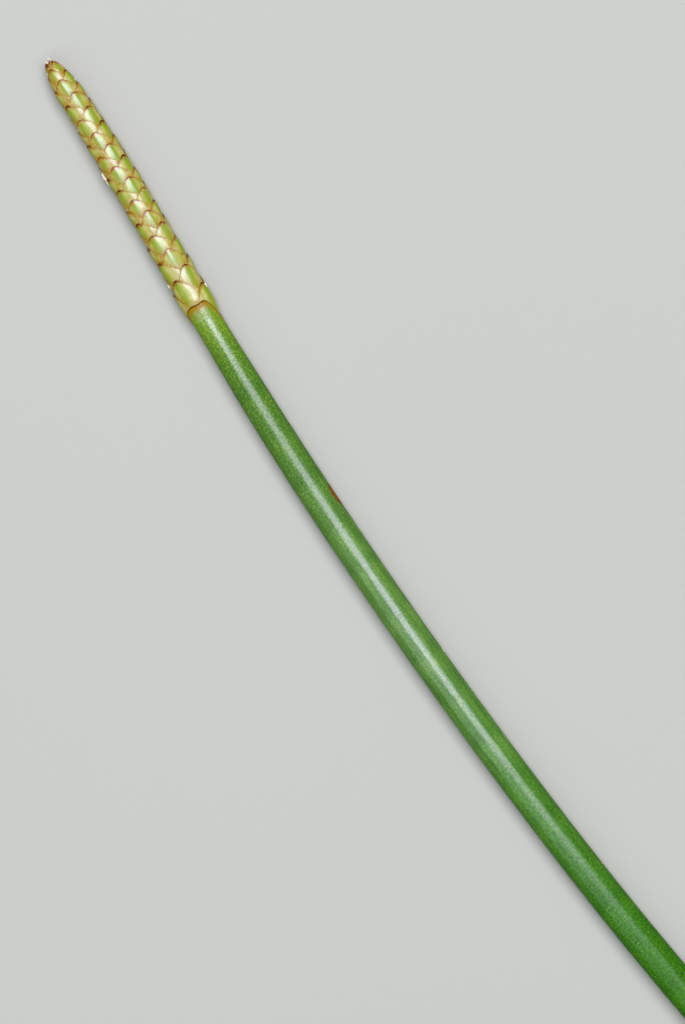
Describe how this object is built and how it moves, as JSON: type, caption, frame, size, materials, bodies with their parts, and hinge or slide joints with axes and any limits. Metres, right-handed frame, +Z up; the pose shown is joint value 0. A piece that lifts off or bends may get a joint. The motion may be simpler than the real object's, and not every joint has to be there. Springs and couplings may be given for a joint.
{
  "type": "knotted spikerush stem with flowering head",
  "caption": "Picked rush stem lying down: a long round leafless stalk, gently curved, with a slender pointed head of spiralling overlapping scales at one end.",
  "frame": {"origin": "middle of the plant's outline, on the surface that it lies on", "axes": "+X from the stem's cut end to the head's tip, +Z up from the surface"},
  "size_m": [0.1398, 0.0074, 0.0042],
  "materials": {
    "culm": "satin",
    "spikelet": "satin"
  },
  "bodies": {
    "root": {"culm": "culm", "spikelet": "spikelet"}
  },
  "joints": []
}
